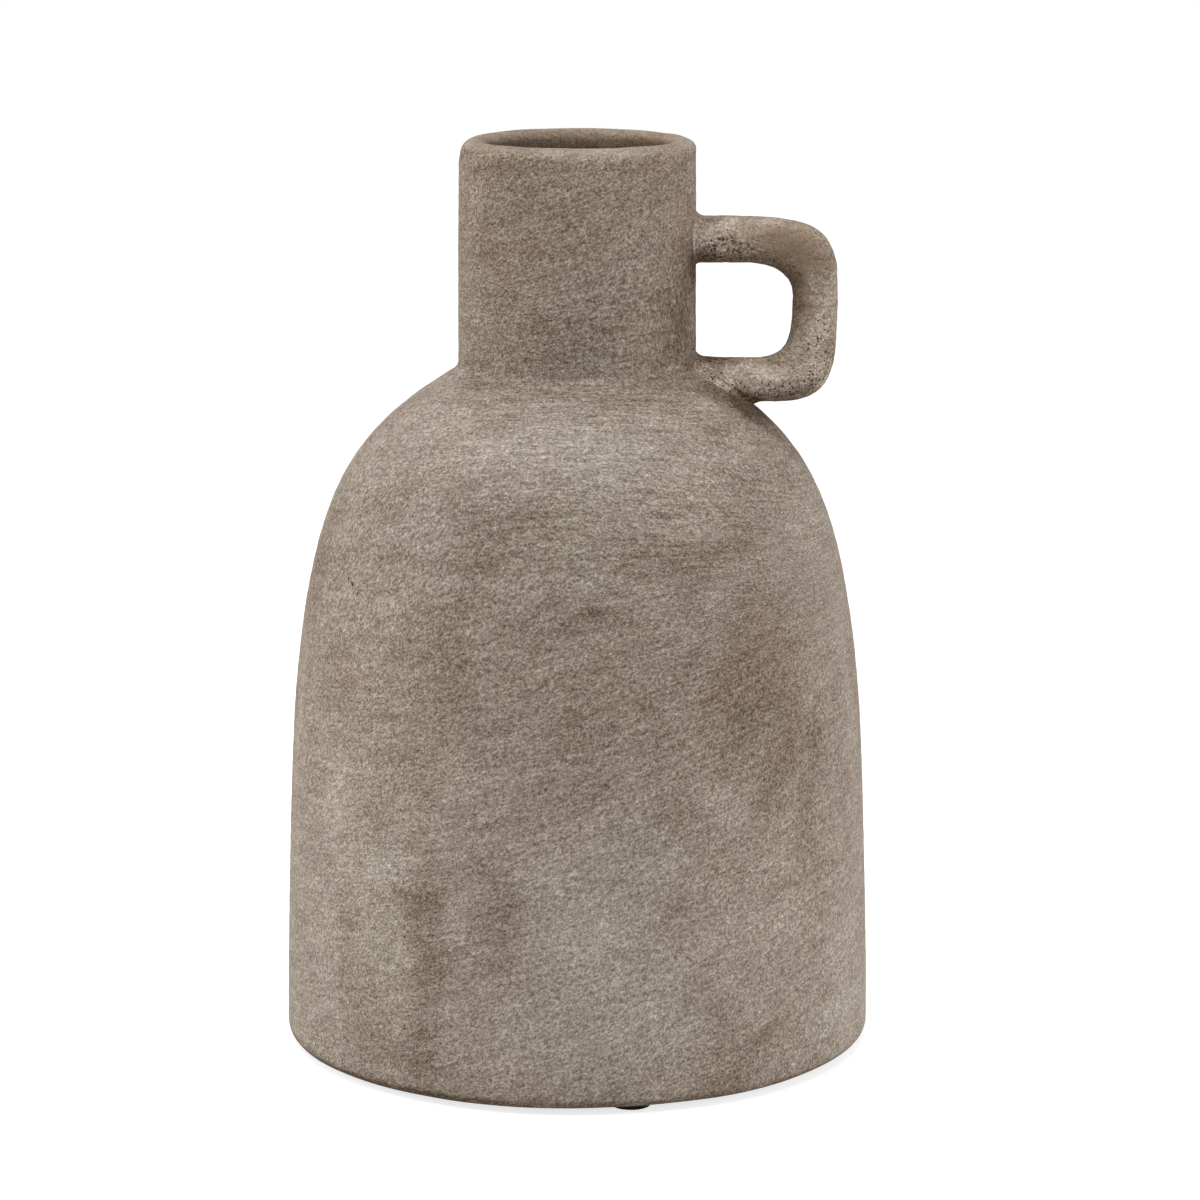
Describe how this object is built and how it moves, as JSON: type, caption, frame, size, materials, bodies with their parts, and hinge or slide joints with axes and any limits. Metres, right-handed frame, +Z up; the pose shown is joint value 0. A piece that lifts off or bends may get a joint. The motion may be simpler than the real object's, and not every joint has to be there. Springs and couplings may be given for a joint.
{
  "type": "jug vase",
  "caption": "Matt grey-brown ceramic jug vase: straight-sided body with a domed shoulder, short cylindrical neck and a squared loop handle at the neck.",
  "frame": {"origin": "on the vase's axis, at the height where the pads meet the table", "axes": "+Z up along the vase's axis, +X towards the handle, -Y towards the front"},
  "size_m": [0.194, 0.194, 0.2997],
  "materials": {
    "fired_clay": "matt, sandy, unglazed grey-brown",
    "pad_rubber": "satin black",
    "pad_adhesive": "translucent adhesive film"
  },
  "bodies": {
    "root": {"body": "fired_clay", "neck": "fired_clay", "handle": "fired_clay", "pad_1": "pad_rubber", "pad_2": "pad_rubber", "pad_3": "pad_rubber", "pad_adhesive_1": "pad_adhesive", "pad_adhesive_2": "pad_adhesive", "pad_adhesive_3": "pad_adhesive"}
  },
  "joints": []
}
